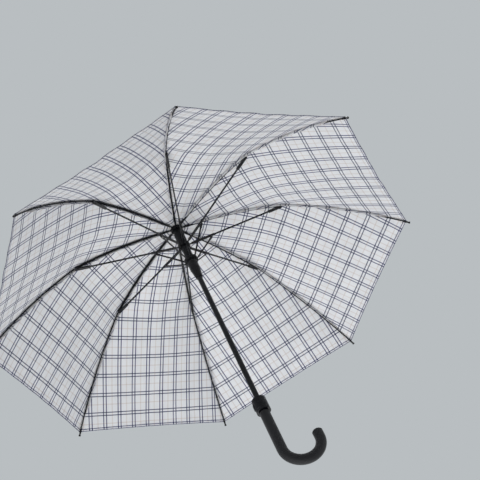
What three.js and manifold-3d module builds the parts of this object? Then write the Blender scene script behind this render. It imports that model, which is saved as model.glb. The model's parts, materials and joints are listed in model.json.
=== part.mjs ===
// Stick umbrella, open, with eight ribs, a two-stage sprung linkage and a crook handle.
// Millimetres. +Z runs up the shaft to the ferrule. The origin is the middle of the hand grip.
// Every folding piece is drawn in the vertical plane of its rib (x = distance from the shaft
// axis, z = height) and is then turned about the shaft to its own bearing.

import * as THREE from 'three';
import { mergeVertices } from 'three/addons/utils/BufferGeometryUtils.js';
import Module from 'manifold-3d';

// ---- clearances -------------------------------------------------------------------------
const GAP = 0.3; // between faces that touch
const HINGE_GAP = 0.35; // round a pivot pin and beside a forked end
const OVERCUT = 1; // how far a cut runs past the face that it opens
const LAP = 2; // how far the sections of one bar run into each other

// ---- canopy frame -----------------------------------------------------------------------
const RIBS = 8;
const FIRST_BEARING = -90; // bearing of rib 1, degrees anticlockwise from +X
const PIVOT_RADIUS = 12; // ring of rib pivots in the notch, and of stretcher pivots in the hub
const PIVOT_Z = 682; // height of the rib pivots
const INNER_LENGTH = 262; // rib channel, measured along its curve from pivot to joint
const OUTER_LENGTH = 322; // flexible rod, from joint to tip
const SLOPE_ROOT = -0.06; // slope below the horizontal, radians, where the rib leaves the notch
const SLOPE_JOINT_IN = 0.28; // where the channel ends
const SLOPE_JOINT_OUT = 0.47; // where the rod begins
const SLOPE_TIP = 0.79; // at the tip
const PIN_DROP = 4.6; // stretcher pin below the rib's centre line

// ---- sections ---------------------------------------------------------------------------
const RIB_WIDTH = 4.2;
const RIB_HEIGHT = 3.8;
const SHEET = 0.7; // steel sheet that the ribs and stretchers are folded from
const ROD_RADIUS = 1.6;
const ROD_START = 3; // bare length of the joint before the rod begins
const EYE_RADIUS = 2.1;
const EYE_WIDTH = 2.6;
const EYE_NECK = 8; // length of the thin neck between an eye and its bar
const NECK_HEIGHT = 2.9;
const PIN_RADIUS = 0.75;
const PIN_INSET = 0.2; // of a pin's ends from the sides of the fork that holds it
const LUG_WIDTH = 1.4;
const LUG_RADIUS = 2.2;
const LUG_HEIGHT = 4.2; // of the plate between a lug's eye and the rib
const LUG_ROOT = 4; // from the rib's joint back to that plate
const TIP_RADIUS = 2.4;
const TIP_LENGTH = 20;
const TIP_REACH = 11; // how far a tip stands out past the rod's end
const TIP_BALL = 3.1;
const TIP_TAPER = 8; // from the end of a tip back to where it narrows
const TIP_WAIST = 5; // from its end back to its waist
const TIP_WAIST_RADIUS = 1.7;
const TIP_BALL_AT = 2.5; // from its end back to the widest part of its ball

// ---- stretchers and struts --------------------------------------------------------------
const CHANNEL_HEIGHT = 4.4; // inner, stiff part of a stretcher
const CHANNEL_WIDTH = 4.8;
const CHANNEL_END = 72; // where the channel gives way to the thinner rod
const CHANNEL_PLUG = 6; // solid end of the channel, round the rod
const LINK_HEIGHT = 3;
const LINK_WIDTH = 3.2;
const CLIP_LENGTH = 36; // forked end piece at the rib
const CLIP_HEIGHT = 5.2;
const CLIP_WIDTH = 5.8;
const FORK_DEPTH = 8;
const STRUT_PIN_AT = 62; // strut pin along the stretcher, from the hub pivot
const STRUT_PIN_DROP = 4.8; // and below its centre line
const STRUT_PIN_EYE = 1.9; // radius of the eyes round the strut pin
const STRUT_LUG_HEIGHT = 4; // of the plate that holds the strut pin
const STRUT_HEIGHT = 2.8;
const STRUT_WIDTH = 3;
const STRUT_FORK_WIDTH = 5;
const STRUT_FORK_HEIGHT = 3.4;
const RING_DROP = 56; // strut pivots below the stretcher pivots, open

// ---- shaft and what is on it ------------------------------------------------------------
const SHAFT_RADIUS = 6.2;
const SHAFT_WALL = 0.8;
const SHAFT_TOP = 32; // above the rib pivots
const SHAFT_IN_HANDLE = 38;
const NOTCH_RIM = 2.8; // notch and hub outside their ring of pivots
const NOTCH_TOP = 2;
const NOTCH_DEPTH = 9;
const SLOT_PLAY = 0.8; // how much wider a slot is than the eye in it
const SLOT_ROOM = 0.7; // between an eye and the floor of its slot
const SLEEVE_WALL = 5.9; // round the shaft
const SLEEVE_NECK_WALL = 3.1; // just under the notch
const SLEEVE_FLARE = 15; // height over which the sleeve widens
const HUB_TOP = 6;
const HUB_BOTTOM = 4.5;
const TUBE_RADIUS = 10; // spring tube under the hub
const TUBE_OVERLAP = 6; // length of it inside the runner, open
const RING_WEB = 1.8; // ring between its bore and its slots
const RING_PIVOTS_OUT = 4.3; // strut pivots outside the ring's bore
const RING_RIM = 2.6; // ring outside its pivots
const RING_HALF = 4.5;
const RUNNER_WALL = 2.3; // round the spring tube
const NOSE_WALL = 2.1; // round the shaft, at the runner's nose
const NOSE_TAPER = 3; // length of the nose's bevelled end
const BEVEL = 1; // on the rims of turned mouldings
const RUNNER_STRAIGHT = 32; // straight part of the runner, below the strut pivots
const RUNNER_LENGTH = 66; // strut pivots to the end of the nose
const RUNNER_BORE_DEPTH = 42;
const CAP_RADIUS = 19;
const CAP_HEIGHT = 6;
const CAP_LIFT = 2.2; // cap above the cloth
const CAP_LIP = 0.4; // how far the cap's rim turns down
const CAP_EDGE = 0.8; // thickness of the rim above its seat
const CAP_SHOULDER = [15.6, 3.3]; // radius and height where the cap's rounded top begins
const CAP_SEAT = 2; // flat top outside the ferrule
const FERRULE_WALL = 1.5; // round the shaft
const FERRULE_TIP_RADIUS = 5;
const FERRULE_LENGTH = 66;
const FERRULE_COLLAR = 8; // length of its straight collar
const FERRULE_STEP = 2; // and of the step under it

// ---- handle -----------------------------------------------------------------------------
const GRIP_TOP = 55; // above the origin
const GRIP_BOTTOM = -50; // where the crook begins
const GRIP_RADIUS = 12;
const CROOK_RADIUS = 42;
const CROOK_END = 16; // straight end of the crook
const COLLAR_HEIGHT = 36;
const COLLAR_WALL = 5;
const NOSE_ENTRY = 2.6; // room round the runner's nose in the collar, closed
const COLLAR_FLOOR = 6; // thickness of the collar's bottom
const BUTTON_WIDTH = 9;
const BUTTON_HEIGHT = 16;
const BUTTON_THICKNESS = 3.4;
const BUTTON_CORNER = 2;
const BUTTON_STANDS_OUT = 1.8;
const BUTTON_TRAVEL = 1.5;

// ---- canopy -----------------------------------------------------------------------------
const CLOTH_LIFT = 3.6; // inner face of the cloth above the rib's centre line
const CLOTH_THICKNESS = 0.6;
const CLOTH_SAG = 13; // how far mid-gore is drawn in between two ribs
const SAG_REACH = 0.92; // share of a half wave that the sag runs through, crown to hem
const SAG_POWER = 1.2; // how late in it the sag is deepest
const SCALLOP_POWER = 6; // how near the hem the scallop begins
const CLOTH_ROOM = 1.9; // between the shaft and the hole at the crown
const HEM_SCALLOP = 3; // how far mid-hem is cut back from the line between two tips
const PANEL_SPLIT = 0.25; // half the gap between neighbouring panels

// ---- radii that follow from the pieces inside them ----------------------------------------
const shaftOuter = SHAFT_RADIUS + GAP; // bore of every piece on the shaft
const tubeOuter = TUBE_RADIUS + GAP; // bore of the strut ring and the runner
const notchRadius = PIVOT_RADIUS + NOTCH_RIM;
const slotWidth = EYE_WIDTH + SLOT_PLAY;
const ringPivotRadius = tubeOuter + RING_PIVOTS_OUT;
const runnerNose = shaftOuter + NOSE_WALL;
const collarBore = runnerNose + NOSE_ENTRY;
const collarRadius = collarBore + COLLAR_WALL;
const ferruleRadius = shaftOuter + FERRULE_WALL;
const clothBore = shaftOuter + CLOTH_ROOM;

// ---- materials --------------------------------------------------------------------------
const finish = (color, roughness, metalness) => ({ color, roughness, metalness });
const BLACK_STEEL = finish(0x16161a, 0.35, 0.6);
const BLACK_ROD = finish(0x1a1a1c, 0.5, 0.1);
const BLACK_PLASTIC = finish(0x141416, 0.45, 0);
const GLOSS_PLASTIC = finish(0x101012, 0.25, 0);
const CLOTH = finish(0xcfcbc4, 0.85, 0);

// ---- booleans ---------------------------------------------------------------------------
const wasm = await Module();
wasm.setup();

function toSolid(geometry) {
  const bare = geometry.clone();
  bare.deleteAttribute('normal');
  bare.deleteAttribute('uv');
  const merged = mergeVertices(bare, 1e-4);
  return new wasm.Manifold(new wasm.Mesh({
    numProp: 3,
    vertProperties: new Float32Array(merged.attributes.position.array),
    triVerts: new Uint32Array(merged.index.array),
  }));
}

function toGeometry(solid) {
  const mesh = solid.getMesh();
  const geometry = new THREE.BufferGeometry();
  geometry.setAttribute('position', new THREE.BufferAttribute(new Float32Array(mesh.vertProperties), 3));
  geometry.setIndex(Array.from(mesh.triVerts));
  geometry.computeVertexNormals();
  return geometry;
}

const join = (...parts) => toGeometry(parts.map(toSolid).reduce((a, b) => a.add(b)));
const cut = (body, ...tools) => toGeometry(tools.map(toSolid).reduce((a, b) => a.subtract(b), toSolid(body)));

// ---- shapes -----------------------------------------------------------------------------
// A flat plate standing in the rib's plane: an outline of [x, z] points given a thickness in y.
function plate(outline, thickness) {
  const shape = new THREE.Shape(outline.map(([x, z]) => new THREE.Vector2(x, z)));
  const geometry = new THREE.ExtrudeGeometry(shape, { depth: thickness, bevelEnabled: false });
  return geometry.rotateX(Math.PI / 2).translate(0, thickness / 2, 0);
}

// A round rod across the rib's plane.
function crossRod([x, z], radius, length, sides = 8) {
  return new THREE.CylinderGeometry(radius, radius, length, sides).translate(x, 0, z);
}

// A straight bar between two points of the rib's plane, with a height in it and a width across it.
function bar([x0, z0], [x1, z1], height, width) {
  const length = Math.hypot(x1 - x0, z1 - z0);
  const [nx, nz] = [(-(z1 - z0) / length) * (height / 2), ((x1 - x0) / length) * (height / 2)];
  return plate([[x0 - nx, z0 - nz], [x1 - nx, z1 - nz], [x1 + nx, z1 + nz], [x0 + nx, z0 + nz]], width);
}

// A turned piece from an outline of [radius, height] points that closes on itself, anticlockwise.
function turned(outline, sides = 24) {
  const points = outline.map(([r, z]) => new THREE.Vector2(r, z));
  if (THREE.ShapeUtils.area(points) < 0) points.reverse();
  return new THREE.LatheGeometry([...points, points[0]], sides).rotateX(Math.PI / 2);
}

function box(x0, x1, y0, y1, z0, z1) {
  const size = [x1 - x0, y1 - y0, z1 - z0];
  return new THREE.BoxGeometry(...size).translate((x0 + x1) / 2, (y0 + y1) / 2, (z0 + z1) / 2);
}

// ---- geometry of the linkage ------------------------------------------------------------
// A point on an arc whose slope grows evenly with length, set off from it by a distance upwards.
function arcPoint([x, z], slope0, slope1, length, t, offset = 0) {
  const radius = length / (slope1 - slope0);
  const slope = slope0 + (slope1 - slope0) * t;
  return [
    x + radius * (Math.sin(slope) - Math.sin(slope0)) + offset * Math.sin(slope),
    z + radius * (Math.cos(slope) - Math.cos(slope0)) + offset * Math.cos(slope),
  ];
}

const along = ([x0, z0], [x1, z1], distance, drop = 0) => {
  const length = Math.hypot(x1 - x0, z1 - z0);
  const [ux, uz] = [(x1 - x0) / length, (z1 - z0) / length];
  return [x0 + ux * distance + uz * drop, z0 + uz * distance - ux * drop];
};

const ribPivot = [PIVOT_RADIUS, PIVOT_Z];
const innerAt = (t, offset = 0) => arcPoint(ribPivot, SLOPE_ROOT, SLOPE_JOINT_IN, INNER_LENGTH, t, offset);
const joint = innerAt(1);
const outerAt = (t, offset = 0) => arcPoint(joint, SLOPE_JOINT_OUT, SLOPE_TIP, OUTER_LENGTH, t, offset);
const ribAt = (s, offset = 0) => (s <= INNER_LENGTH
  ? innerAt(s / INNER_LENGTH, offset)
  : outerAt((s - INNER_LENGTH) / OUTER_LENGTH, offset));
const jointPin = innerAt(1, -PIN_DROP);
// The stretcher is as long as the rib's chord, so the hub hangs twice as far down as the pin.
const hubZ = 2 * jointPin[1] - PIVOT_Z;
const hubPivot = [PIVOT_RADIUS, hubZ];
const strutPin = along(hubPivot, jointPin, STRUT_PIN_AT, STRUT_PIN_DROP);
const ringZ = hubZ - RING_DROP;
const ringPivot = [ringPivotRadius, ringZ];

// ---- one rib's pieces, in the rib's plane -----------------------------------------------
function ribChannel() {
  const steps = 7;
  const start = EYE_NECK / INNER_LENGTH;
  const band = (from, to, low, high) => {
    const at = (i) => from + (to - from) * (i / steps);
    const stops = Array.from({ length: steps + 1 }, (_, i) => at(i));
    return [...stops.map((t) => innerAt(t, low)), ...stops.reverse().map((t) => innerAt(t, high))];
  };
  const outside = plate(band(start, 1, -RIB_HEIGHT / 2, RIB_HEIGHT / 2), RIB_WIDTH);
  const hollow = band(start * 2, 1 - start, -RIB_HEIGHT, RIB_HEIGHT / 2 - SHEET);
  const inside = plate(hollow, RIB_WIDTH - 2 * SHEET);
  const channel = cut(outside, inside);
  const neck = bar(ribPivot, innerAt(start * 1.5), NECK_HEIGHT, EYE_WIDTH);
  const eye = crossRod(ribPivot, EYE_RADIUS, EYE_WIDTH);
  const lugRoot = innerAt(1 - LUG_ROOT / INNER_LENGTH);
  const lug = bar(lugRoot, jointPin, LUG_HEIGHT, LUG_WIDTH);
  const lugEnd = crossRod(jointPin, LUG_RADIUS, LUG_WIDTH);
  return cut(
    join(channel, neck, eye, lug, lugEnd),
    crossRod(ribPivot, PIN_RADIUS + HINGE_GAP, EYE_WIDTH * 2),
    crossRod(jointPin, PIN_RADIUS + HINGE_GAP, RIB_WIDTH * 2),
  );
}

class RibCurve extends THREE.Curve {
  constructor(t0, t1) {
    super();
    this.t0 = t0;
    this.t1 = t1;
  }

  getPoint(u, target = new THREE.Vector3()) {
    const [x, z] = outerAt(this.t0 + (this.t1 - this.t0) * u);
    return target.set(x, 0, z);
  }
}

function roundAlong(curve, radius, sides, steps) {
  const section = new THREE.Shape();
  for (let i = 0; i < sides; i += 1) {
    const a = (2 * Math.PI * (i + 0.5)) / sides;
    section[i ? 'lineTo' : 'moveTo'](radius * Math.cos(a), radius * Math.sin(a));
  }
  section.closePath();
  return new THREE.ExtrudeGeometry(section, { extrudePath: curve, steps, bevelEnabled: false });
}

const tipStart = 1 - (TIP_LENGTH - TIP_REACH) / OUTER_LENGTH;

function ribRod() {
  return roundAlong(new RibCurve(ROD_START / OUTER_LENGTH, tipStart - GAP / OUTER_LENGTH), ROD_RADIUS, 6, 9);
}

function ribTip() {
  const [x0, z0] = outerAt(tipStart);
  const profile = [
    [0, 0], [TIP_RADIUS * 0.8, 0], [TIP_RADIUS, LAP], [TIP_RADIUS, TIP_LENGTH - TIP_TAPER],
    [TIP_WAIST_RADIUS, TIP_LENGTH - TIP_WAIST], [TIP_BALL, TIP_LENGTH - TIP_BALL_AT],
    [TIP_BALL * 0.8, TIP_LENGTH - TIP_BALL_AT / 4], [0, TIP_LENGTH],
  ].map(([r, h]) => new THREE.Vector2(r, h));
  // Turned about its own length, then laid along the rod's last slope.
  return new THREE.LatheGeometry(profile, 8).rotateZ(-Math.PI / 2).rotateY(SLOPE_TIP).translate(x0, 0, z0);
}

function stretcher() {
  const length = Math.hypot(jointPin[0] - hubPivot[0], jointPin[1] - hubPivot[1]);
  const at = (distance, drop) => along(hubPivot, jointPin, distance, drop);
  const clipFrom = length - CLIP_LENGTH;
  const groove = CHANNEL_HEIGHT - SHEET; // open upwards, towards the rib
  const body = join(
    crossRod(hubPivot, EYE_RADIUS, EYE_WIDTH),
    bar(hubPivot, at(EYE_NECK * 1.5), NECK_HEIGHT, EYE_WIDTH),
    cut(
      bar(at(EYE_NECK), at(CHANNEL_END), CHANNEL_HEIGHT, CHANNEL_WIDTH),
      bar(
        at(EYE_NECK * 2, -groove), at(CHANNEL_END - CHANNEL_PLUG, -groove),
        2 * groove, CHANNEL_WIDTH - 2 * SHEET,
      ),
    ),
    bar(at(CHANNEL_END - LAP), at(clipFrom + LAP), LINK_HEIGHT, LINK_WIDTH),
    bar(at(clipFrom), at(length), CLIP_HEIGHT, CLIP_WIDTH),
    crossRod(jointPin, CLIP_HEIGHT / 2, CLIP_WIDTH),
    bar(at(STRUT_PIN_AT - LAP / 2), strutPin, STRUT_LUG_HEIGHT, LUG_WIDTH),
    crossRod(strutPin, STRUT_PIN_EYE, LUG_WIDTH),
  );
  const forked = cut(
    body,
    bar(at(length - FORK_DEPTH), at(length + FORK_DEPTH), CLIP_HEIGHT * 2, LUG_WIDTH + 2 * HINGE_GAP),
    crossRod(hubPivot, PIN_RADIUS + HINGE_GAP, EYE_WIDTH * 2),
    crossRod(strutPin, PIN_RADIUS + HINGE_GAP, CHANNEL_WIDTH * 2),
  );
  return join(forked, crossRod(jointPin, PIN_RADIUS, CLIP_WIDTH - 2 * PIN_INSET));
}

function strut() {
  const length = Math.hypot(ringPivot[0] - strutPin[0], ringPivot[1] - strutPin[1]);
  const at = (distance) => along(strutPin, ringPivot, distance);
  const body = join(
    crossRod(strutPin, STRUT_PIN_EYE, STRUT_FORK_WIDTH),
    bar(strutPin, at(FORK_DEPTH * 1.5), STRUT_FORK_HEIGHT, STRUT_FORK_WIDTH),
    bar(at(FORK_DEPTH), at(length - EYE_NECK), STRUT_HEIGHT, STRUT_WIDTH),
    bar(at(length - EYE_NECK - LAP / 2), ringPivot, STRUT_HEIGHT, EYE_WIDTH),
    crossRod(ringPivot, EYE_RADIUS * 0.9, EYE_WIDTH),
  );
  const forked = cut(body, bar(at(-FORK_DEPTH), at(FORK_DEPTH), FORK_DEPTH * 2, LUG_WIDTH + 2 * HINGE_GAP));
  return join(forked, crossRod(strutPin, PIN_RADIUS, STRUT_FORK_WIDTH - 2 * PIN_INSET));
}

// ---- canopy panel over one rib, half a gore to each side --------------------------------
const HALF_GORE = Math.PI / RIBS;
const CROWN_REACH = PIVOT_RADIUS - clothBore; // cloth inside the ring of rib pivots
const CLOTH_LENGTH = CROWN_REACH + INNER_LENGTH + OUTER_LENGTH;

// A point of the cloth: s down its length from the crown hole, v from -1 to 1 across the panel
// with 0 over the rib, and lift above the rib's centre line.
function clothPoint(s, v, lift) {
  const [ribX, ribZ] = s > CROWN_REACH ? ribAt(s - CROWN_REACH, lift) : [clothBore + s, PIVOT_Z + lift];
  const share = s / CLOTH_LENGTH;
  const toRib = 1 - Math.abs(v);
  const fromRib = 1 - toRib ** 2;
  const slope = SLOPE_TIP * share;
  const sag = CLOTH_SAG * Math.sin(SAG_REACH * Math.PI * share ** SAG_POWER) * fromRib;
  const scallop = HEM_SCALLOP * share ** SCALLOP_POWER * fromRib;
  // Neighbouring ribs are joined by a straight chord, which mid-gore is drawn in from.
  const out = ribX * Math.cos(HALF_GORE) - sag * Math.sin(slope) - scallop * Math.cos(slope);
  const z = ribZ - sag * Math.cos(slope) + scallop * Math.sin(slope);
  const edge = Math.abs(v) === 1 ? PANEL_SPLIT : 0;
  const aside = toRib * ribX * Math.sin(HALF_GORE) + edge;
  const side = v < 0 ? -1 : 1;
  return [
    out * Math.cos(HALF_GORE) + aside * Math.sin(HALF_GORE),
    side * (out * Math.sin(HALF_GORE) - aside * Math.cos(HALF_GORE)),
    z,
  ];
}

// Distances down the cloth of its rows of points, with one at the rib's joint.
function clothRows() {
  const toJoint = CROWN_REACH + INNER_LENGTH;
  const inner = [0, 1, 2, 3, 4].map((i) => (toJoint * i) / 4);
  const outer = [1, 2, 3, 4, 5].map((i) => toJoint + (OUTER_LENGTH * i) / 5);
  return [...inner, ...outer];
}

function clothPanel() {
  const rows = clothRows();
  const columns = [-1, -0.5, 0, 0.5, 1];
  const width = columns.length;
  const lastRow = rows.length - 1;
  const lastColumn = width - 1;
  const positions = [];
  const index = [];
  for (const lift of [CLOTH_LIFT, CLOTH_LIFT + CLOTH_THICKNESS]) {
    for (const s of rows) {
      for (const v of columns) positions.push(...clothPoint(s, v, lift));
    }
  }
  const at = (i, j, layer) => layer * rows.length * width + i * width + j;
  const quad = (a, b, c, d) => index.push(a, b, c, a, c, d);
  for (let i = 0; i < lastRow; i += 1) {
    for (let j = 0; j < lastColumn; j += 1) {
      quad(at(i, j, 1), at(i + 1, j, 1), at(i + 1, j + 1, 1), at(i, j + 1, 1));
      quad(at(i, j, 0), at(i, j + 1, 0), at(i + 1, j + 1, 0), at(i + 1, j, 0));
    }
    quad(at(i, 0, 0), at(i + 1, 0, 0), at(i + 1, 0, 1), at(i, 0, 1));
    quad(at(i, lastColumn, 1), at(i + 1, lastColumn, 1), at(i + 1, lastColumn, 0), at(i, lastColumn, 0));
  }
  for (let j = 0; j < lastColumn; j += 1) {
    quad(at(0, j, 0), at(0, j, 1), at(0, j + 1, 1), at(0, j + 1, 0));
    quad(at(lastRow, j, 1), at(lastRow, j, 0), at(lastRow, j + 1, 0), at(lastRow, j + 1, 1));
  }
  const geometry = new THREE.BufferGeometry();
  geometry.setAttribute('position', new THREE.Float32BufferAttribute(positions, 3));
  geometry.setIndex(index);
  geometry.computeVertexNormals();
  return geometry;
}

// ---- pieces on the shaft ----------------------------------------------------------------
// A slotted disc with a wire ring through its slots, for eyes to turn on.
function slottedDisc({ bore, radius, z0, z1, slotFloor, wireZ }) {
  const disc = turned([
    [bore, z0], [radius - BEVEL, z0], [radius, z0 + BEVEL], [radius, z1], [bore, z1],
  ]);
  const slots = [];
  for (let i = 0; i < RIBS; i += 1) {
    const halfWidth = slotWidth / 2;
    const slot = box(slotFloor, radius + OVERCUT, -halfWidth, halfWidth, z0 - OVERCUT, z1 + OVERCUT);
    slots.push(slot.rotateZ(bearing(i)));
  }
  const slotted = cut(disc, ...slots);
  if (wireZ === undefined) return slotted;
  const wire = new THREE.TorusGeometry(PIVOT_RADIUS, PIN_RADIUS, 5, 24).translate(0, 0, wireZ);
  return join(slotted, wire);
}

const eyeSlotFloor = PIVOT_RADIUS - EYE_RADIUS - SLOT_ROOM;

function bearing(i) {
  return THREE.MathUtils.degToRad(FIRST_BEARING + (360 / RIBS) * i);
}

function shaft() {
  const inner = SHAFT_RADIUS - SHAFT_WALL;
  const bottom = GRIP_TOP - SHAFT_IN_HANDLE + GAP;
  const top = PIVOT_Z + SHAFT_TOP;
  return turned([[inner, bottom], [SHAFT_RADIUS, bottom], [SHAFT_RADIUS, top], [inner, top]]);
}

function topNotch() {
  return slottedDisc({
    bore: shaftOuter,
    radius: notchRadius,
    z0: PIVOT_Z + NOTCH_TOP - NOTCH_DEPTH,
    z1: PIVOT_Z + NOTCH_TOP,
    slotFloor: eyeSlotFloor,
    wireZ: PIVOT_Z,
  });
}

function notchSleeve() {
  const top = PIVOT_Z + NOTCH_TOP - NOTCH_DEPTH - GAP;
  const bottom = hubZ + HUB_TOP + GAP;
  return turned([
    [shaftOuter, bottom], [shaftOuter + SLEEVE_WALL, bottom], [shaftOuter + SLEEVE_WALL, top - SLEEVE_FLARE],
    [shaftOuter + SLEEVE_NECK_WALL, top], [shaftOuter, top],
  ]);
}

function upperHub() {
  return slottedDisc({
    bore: shaftOuter,
    radius: notchRadius,
    z0: hubZ - HUB_BOTTOM,
    z1: hubZ + HUB_TOP,
    slotFloor: eyeSlotFloor,
    wireZ: hubZ,
  });
}

function springTube() {
  const top = hubZ - HUB_BOTTOM - GAP;
  const bottom = ringZ + RING_HALF - TUBE_OVERLAP;
  return turned([
    [shaftOuter, bottom], [TUBE_RADIUS, bottom], [TUBE_RADIUS, top], [shaftOuter, top],
  ]);
}

function strutRing() {
  return slottedDisc({
    bore: tubeOuter,
    radius: ringPivotRadius + RING_RIM,
    z0: ringZ - RING_HALF,
    z1: ringZ + RING_HALF,
    slotFloor: tubeOuter + RING_WEB,
  });
}

function lowerRunner() {
  const top = ringZ - RING_HALF - GAP;
  const radius = tubeOuter + RUNNER_WALL;
  const step = ringZ - RUNNER_BORE_DEPTH;
  const end = ringZ - RUNNER_LENGTH;
  return turned([
    [tubeOuter, top], [radius, top], [radius, ringZ - RUNNER_STRAIGHT],
    [runnerNose, end + NOSE_TAPER], [runnerNose - BEVEL, end], [shaftOuter, end],
    [shaftOuter, step], [tubeOuter, step],
  ]);
}

const clothTop = PIVOT_Z + CLOTH_LIFT + CLOTH_THICKNESS;

function crownCap() {
  const z = clothTop + CAP_LIFT;
  const [shoulderRadius, shoulderHeight] = CAP_SHOULDER;
  return turned([
    [shaftOuter, z], [CAP_RADIUS, z - CAP_LIP], [CAP_RADIUS, z + CAP_EDGE],
    [shoulderRadius, z + shoulderHeight], [ferruleRadius + CAP_SEAT, z + CAP_HEIGHT],
    [shaftOuter, z + CAP_HEIGHT],
  ]);
}

function ferrule() {
  const z = clothTop + CAP_LIFT + CAP_HEIGHT + GAP;
  const inside = PIVOT_Z + SHAFT_TOP + GAP;
  return turned([
    [0, inside], [shaftOuter, inside], [shaftOuter, z], [ferruleRadius, z],
    [ferruleRadius, z + FERRULE_COLLAR], [ferruleRadius - BEVEL, z + FERRULE_COLLAR + FERRULE_STEP],
    [FERRULE_TIP_RADIUS, z + FERRULE_LENGTH - BEVEL], [FERRULE_TIP_RADIUS - BEVEL, z + FERRULE_LENGTH],
    [0, z + FERRULE_LENGTH],
  ]);
}

// ---- handle -----------------------------------------------------------------------------
class CrookPath extends THREE.Curve {
  getPoint(u, target = new THREE.Vector3()) {
    const straight = GRIP_TOP - GRIP_BOTTOM;
    const bend = Math.PI * CROOK_RADIUS;
    const d = u * (straight + bend + CROOK_END);
    if (d <= straight) return target.set(0, 0, GRIP_TOP - d);
    if (d <= straight + bend) {
      const a = (d - straight) / CROOK_RADIUS;
      const x = CROOK_RADIUS * (1 - Math.cos(a));
      return target.set(x, 0, GRIP_BOTTOM - CROOK_RADIUS * Math.sin(a));
    }
    return target.set(2 * CROOK_RADIUS, 0, GRIP_BOTTOM + (d - straight - bend));
  }
}

function handle() {
  const body = roundAlong(new CrookPath(), GRIP_RADIUS, 12, 30);
  const depth = SHAFT_IN_HANDLE + OVERCUT;
  const socket = new THREE.CylinderGeometry(shaftOuter, shaftOuter, depth, 16)
    .rotateX(Math.PI / 2).translate(0, 0, GRIP_TOP + OVERCUT - depth / 2);
  return cut(body, socket);
}

const buttonZ = GRIP_TOP + COLLAR_HEIGHT / 2;

function handleCollar() {
  const z = GRIP_TOP + GAP;
  const body = turned([
    [shaftOuter, z], [collarRadius, z], [collarRadius, z + COLLAR_HEIGHT - BEVEL],
    [collarRadius - BEVEL, z + COLLAR_HEIGHT], [collarBore, z + COLLAR_HEIGHT],
    [collarBore, z + COLLAR_FLOOR], [shaftOuter, z + COLLAR_FLOOR],
  ]);
  const face = -(collarRadius + BUTTON_STANDS_OUT);
  const floor = face + BUTTON_THICKNESS + BUTTON_TRAVEL + GAP;
  const y = BUTTON_WIDTH / 2 + GAP;
  const halfHeight = BUTTON_HEIGHT / 2 + GAP;
  return cut(body, box(face - OVERCUT, floor, -y, y, buttonZ - halfHeight, buttonZ + halfHeight));
}

function releaseButton() {
  const corner = BUTTON_CORNER;
  const [w, h] = [BUTTON_WIDTH / 2, BUTTON_HEIGHT / 2];
  const shape = new THREE.Shape();
  shape.moveTo(-w + corner, -h);
  shape.lineTo(w - corner, -h);
  shape.quadraticCurveTo(w, -h, w, -h + corner);
  shape.lineTo(w, h - corner);
  shape.quadraticCurveTo(w, h, w - corner, h);
  shape.lineTo(-w + corner, h);
  shape.quadraticCurveTo(-w, h, -w, h - corner);
  shape.lineTo(-w, -h + corner);
  shape.quadraticCurveTo(-w, -h, -w + corner, -h);
  const button = new THREE.ExtrudeGeometry(shape, {
    depth: BUTTON_THICKNESS, bevelEnabled: false, curveSegments: 3,
  });
  // The outline's own x becomes y, its y becomes z, and its depth runs in towards the shaft.
  button.applyMatrix4(new THREE.Matrix4().makeBasis(
    new THREE.Vector3(0, 1, 0), new THREE.Vector3(0, 0, 1), new THREE.Vector3(1, 0, 0),
  ));
  return button.translate(-(collarRadius + BUTTON_STANDS_OUT), 0, buttonZ);
}

// ---- assembly ---------------------------------------------------------------------------
const group = new THREE.Group();

function add(name, geometry, look, parent = group) {
  const mesh = new THREE.Mesh(geometry, new THREE.MeshStandardMaterial(look));
  mesh.name = name;
  parent.add(mesh);
}

add('shaft', shaft(), BLACK_STEEL);
add('top_notch', topNotch(), BLACK_PLASTIC);
add('notch_sleeve', notchSleeve(), BLACK_PLASTIC);
add('upper_hub', upperHub(), BLACK_PLASTIC);
add('spring_tube', springTube(), GLOSS_PLASTIC);
add('strut_ring', strutRing(), BLACK_PLASTIC);
add('lower_runner', lowerRunner(), GLOSS_PLASTIC);
add('crown_cap', crownCap(), BLACK_PLASTIC);
add('ferrule', ferrule(), GLOSS_PLASTIC);
add('handle', handle(), BLACK_PLASTIC);
add('handle_collar', handleCollar(), GLOSS_PLASTIC);
add('release_button', releaseButton(), BLACK_STEEL);

const ribPieces = [
  ['rib_channel', ribChannel(), BLACK_STEEL],
  ['rib_rod', ribRod(), BLACK_ROD],
  ['rib_tip', ribTip(), GLOSS_PLASTIC],
  ['stretcher', stretcher(), BLACK_STEEL],
  ['strut', strut(), BLACK_STEEL],
  ['canopy', clothPanel(), CLOTH],
];

for (let i = 0; i < RIBS; i += 1) {
  const plane = new THREE.Group();
  plane.rotation.z = bearing(i);
  for (const [name, geometry, look] of ribPieces) {
    add(`${name}_${i + 1}`, geometry, look, plane);
  }
  group.add(plane);
}

export default group;
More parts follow.
